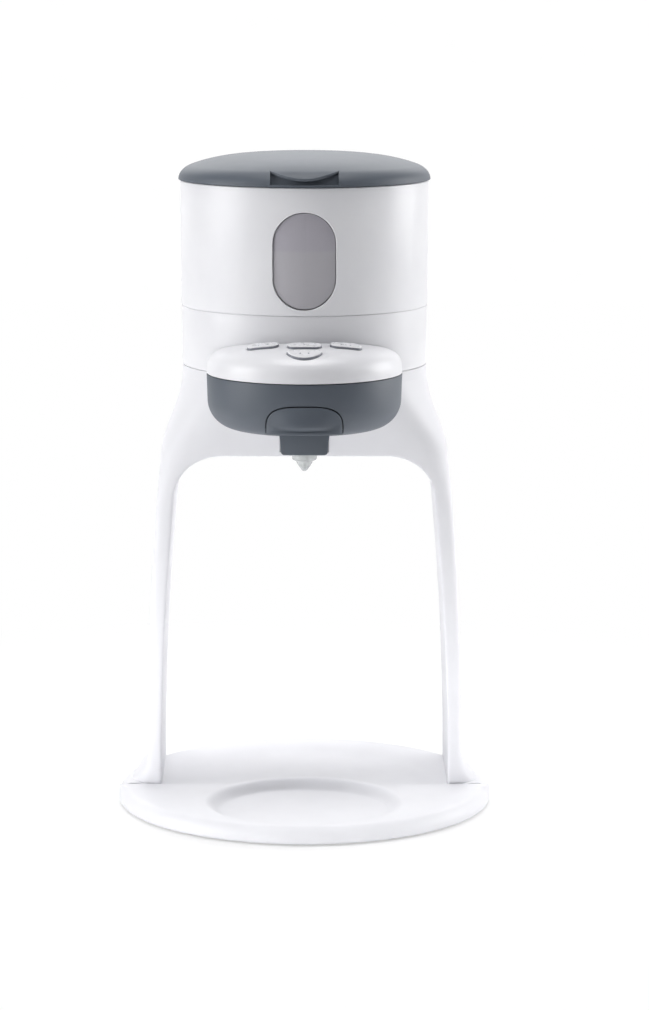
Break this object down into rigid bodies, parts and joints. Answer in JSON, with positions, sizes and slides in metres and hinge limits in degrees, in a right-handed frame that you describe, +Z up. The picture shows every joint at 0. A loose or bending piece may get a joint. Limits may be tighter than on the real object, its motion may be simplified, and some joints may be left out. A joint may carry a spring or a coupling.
{
  "type": "bottle warmer",
  "caption": "Countertop bottle warmer: a windowed water tank and heating head with keys and a spout on a two-legged stand over a round foot.",
  "frame": {"origin": "middle of the round foot, on the table", "axes": "+Z up, -Y towards the user, +X to the user's right"},
  "size_m": [0.19, 0.19, 0.3304],
  "materials": {
    "white_shell": "glossy moulded ABS",
    "stand_white": "satin moulded ABS",
    "slate_grey": "fine-grained satin ABS",
    "frosted_tank": "frosted translucent plastic",
    "clear_silicone": "translucent silicone",
    "key_white": "moulded keys with grey sides",
    "grey_rubber": "matt moulded rubber",
    "steel": "zinc-plated steel",
    "plate_paint": "powder-coated steel sheet",
    "heater_metal": "cast aluminium",
    "board_green": "coated circuit board",
    "black_nylon": "moulded black nylon"
  },
  "bodies": {
    "stand": {"stand_frame": "stand_white", "base_plate": "plate_paint", "base_screw_front_left": "steel", "base_screw_front_right": "steel", "base_screw_rear_left": "steel", "base_screw_rear_right": "steel", "foot_pad_front_left": "grey_rubber", "foot_pad_front_right": "grey_rubber", "foot_pad_rear_left": "grey_rubber", "foot_pad_rear_right": "grey_rubber", "lower_housing": "white_shell", "head_cap": "white_shell", "head_cup": "slate_grey", "control_board": "board_green", "chassis_plate": "steel", "pump": "black_nylon", "heater_block": "heater_metal", "power_board": "board_green", "inlet_hose": "clear_silicone", "pump_hose": "clear_silicone", "outlet_hose": "clear_silicone", "spout_elbow": "black_nylon", "tank_socket": "black_nylon", "socket_seal": "grey_rubber", "cord_gland": "grey_rubber"},
    "tank": {"tank_sleeve": "white_shell", "water_tank": "frosted_tank", "hinge_pin": "steel", "valve_cage": "black_nylon", "valve_spring": "steel"},
    "valve": {"valve_plunger": "black_nylon", "valve_seal": "grey_rubber"},
    "lid": {"tank_lid": "slate_grey"},
    "left_key": {"key_left": "key_white"},
    "right_key": {"key_right": "key_white"},
    "rear_key": {"key_rear": "key_white"},
    "front_key": {"key_front": "key_white"},
    "spout": {"spout_carrier": "slate_grey", "spout_nozzle": "clear_silicone", "nozzle_seal": "grey_rubber"},
    "tray": {"drip_tray": "stand_white"}
  },
  "joints": [
    {"name": "tank_lift", "type": "slide", "parent": "stand", "child": "tank", "axis": [0, 0, 1], "range_m": [0, 0.06]},
    {"name": "valve_slide", "type": "slide", "parent": "tank", "child": "valve", "axis": [0, 0, -1], "range_m": [0, 0.0024], "deforming": ["valve_spring"]},
    {"name": "lid_hinge", "type": "hinge", "parent": "tank", "child": "lid", "pos_m": [0, 0.0672, 0.3215], "axis": [-1, 0, 0], "range_deg": [0, 100]},
    {"name": "left_key_press", "type": "slide", "parent": "stand", "child": "left_key", "axis": [0, 0, -1], "range_m": [0, 0.001], "stiffness_N_per_m": 600, "springref_m": -0.001},
    {"name": "right_key_press", "type": "slide", "parent": "stand", "child": "right_key", "axis": [0, 0, -1], "range_m": [0, 0.001], "stiffness_N_per_m": 600, "springref_m": -0.001},
    {"name": "rear_key_press", "type": "slide", "parent": "stand", "child": "rear_key", "axis": [0, 0, -1], "range_m": [0, 0.001], "stiffness_N_per_m": 600, "springref_m": -0.001},
    {"name": "front_key_press", "type": "slide", "parent": "stand", "child": "front_key", "axis": [0, 0, -1], "range_m": [0, 0.001], "stiffness_N_per_m": 600, "springref_m": -0.001},
    {"name": "spout_slide", "type": "slide", "parent": "stand", "child": "spout", "axis": [0, -1, 0], "range_m": [0, 0.062]},
    {"name": "tray_slide", "type": "slide", "parent": "stand", "child": "tray", "axis": [0, -1, 0], "range_m": [0, 0.105]}
  ],
  "couplings": [
    {"joint": "valve_slide", "follows": "tank_lift", "ratio": 0.04}
  ]
}
